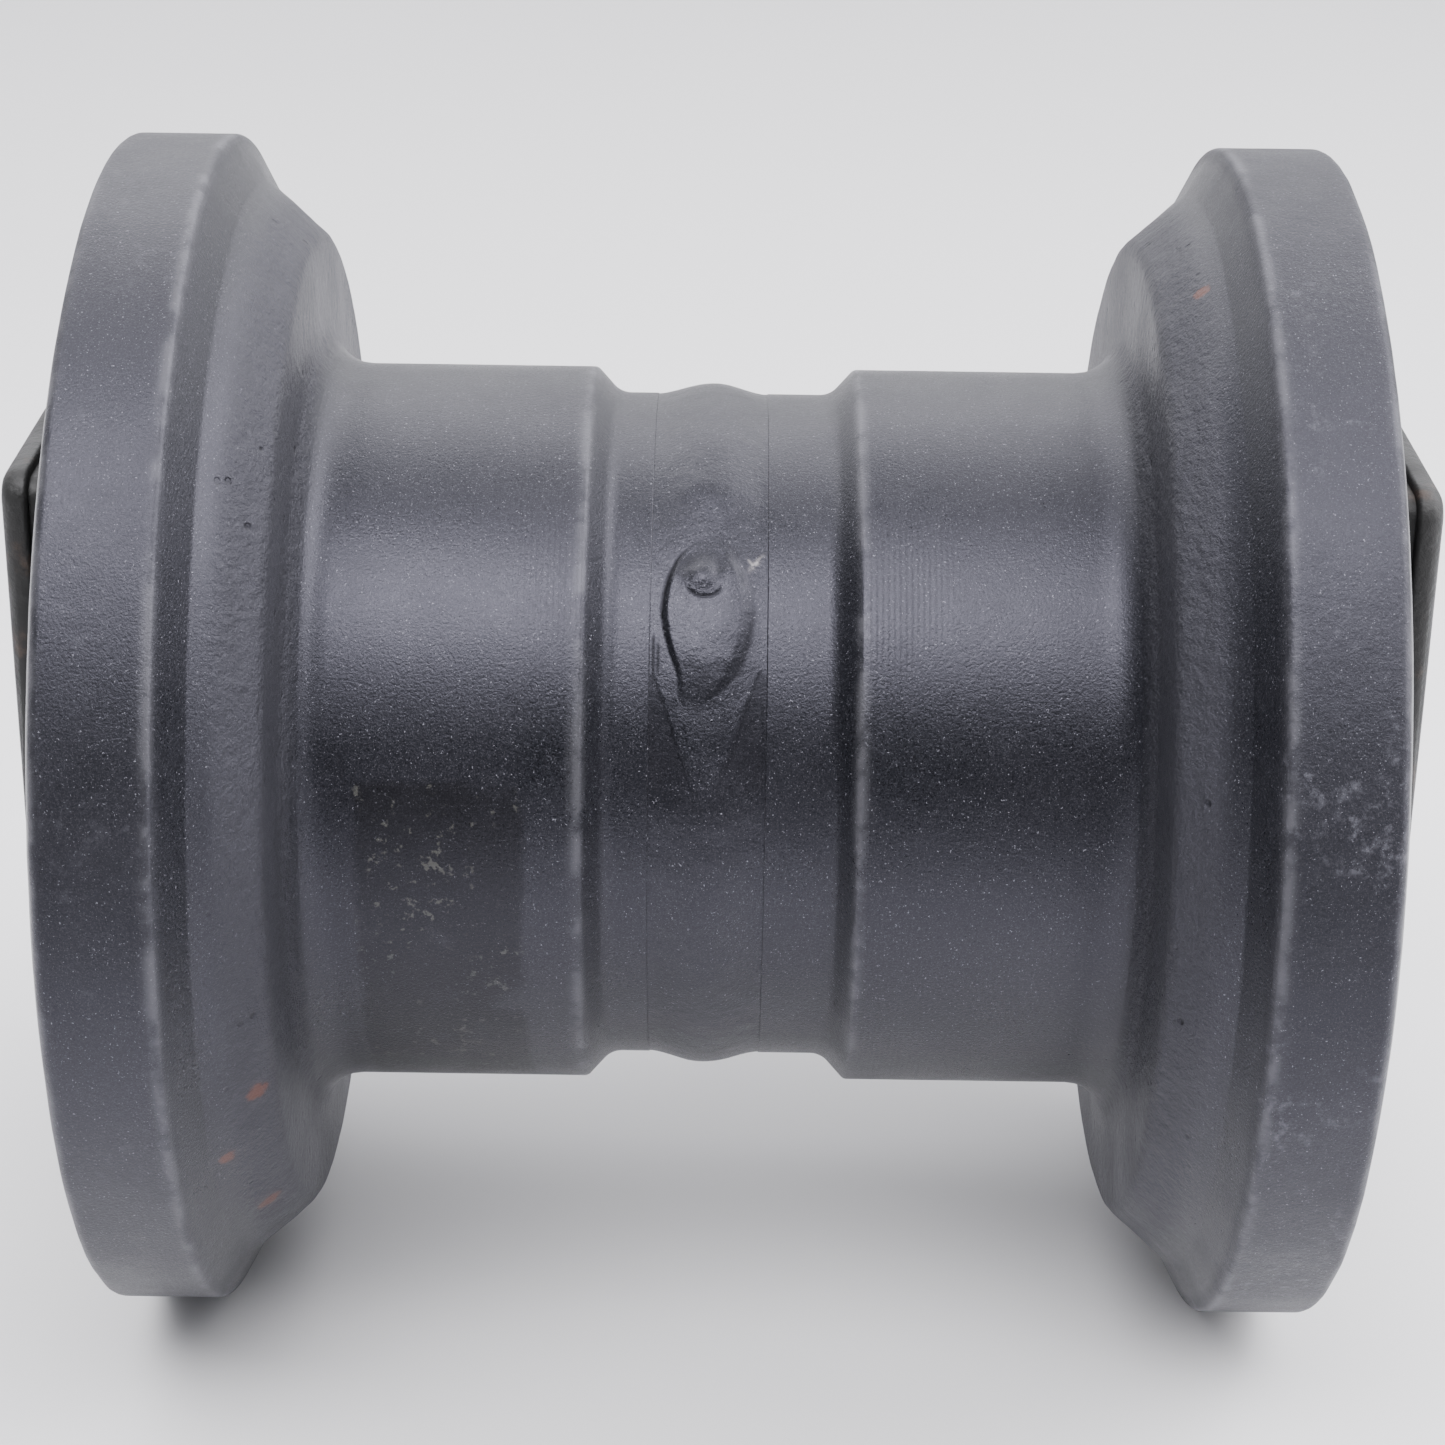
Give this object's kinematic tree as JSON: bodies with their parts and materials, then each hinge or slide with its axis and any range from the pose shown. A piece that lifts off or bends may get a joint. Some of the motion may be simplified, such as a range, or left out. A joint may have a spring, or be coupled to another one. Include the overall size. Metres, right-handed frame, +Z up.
{
  "type": "track roller",
  "caption": "Sealed outer-flange bottom roller for a tracked machine: a welded spool body turns on a fixed shaft between D-shaped end collars.",
  "frame": {"origin": "middle of the roller, on the shaft's axis", "axes": "+X along the shaft's axis, +Z up to the collars' flat seats, -Y to the front"},
  "size_m": [0.182, 0.16, 0.16],
  "materials": {
    "body_paint": "dark slate paint over forged and turned steel",
    "weld_paint": "dark slate paint over a ground weld",
    "collar_paint": "dark grey paint over a casting, rusty on its edges",
    "shaft_steel": "ground",
    "plug_steel": "plated",
    "pin_steel": "black oxide",
    "bush_bronze": "turned bronze",
    "seal_iron": "lapped",
    "seal_rubber": "matt black"
  },
  "bodies": {
    "shaft_and_collars": {"shaft": "shaft_steel", "oil_plug": "plug_steel", "left_collar": "collar_paint", "right_collar": "collar_paint", "left_collar_seal_ring": "seal_iron", "right_collar_seal_ring": "seal_iron", "left_collar_seal_toric": "seal_rubber", "right_collar_seal_toric": "seal_rubber", "left_collar_o_ring": "seal_rubber", "right_collar_o_ring": "seal_rubber", "left_lock_pin": "pin_steel", "right_lock_pin": "pin_steel"},
    "roller": {"left_shell_half": "body_paint", "right_shell_half": "body_paint", "weld_bead": "weld_paint", "left_bush": "bush_bronze", "right_bush": "bush_bronze", "left_roller_seal_ring": "seal_iron", "right_roller_seal_ring": "seal_iron", "left_roller_seal_toric": "seal_rubber", "right_roller_seal_toric": "seal_rubber"}
  },
  "joints": [
    {"name": "spin", "type": "hinge", "parent": "shaft_and_collars", "child": "roller", "pos_m": [0, 0, 0], "axis": [1, 0, 0], "continuous": true}
  ]
}
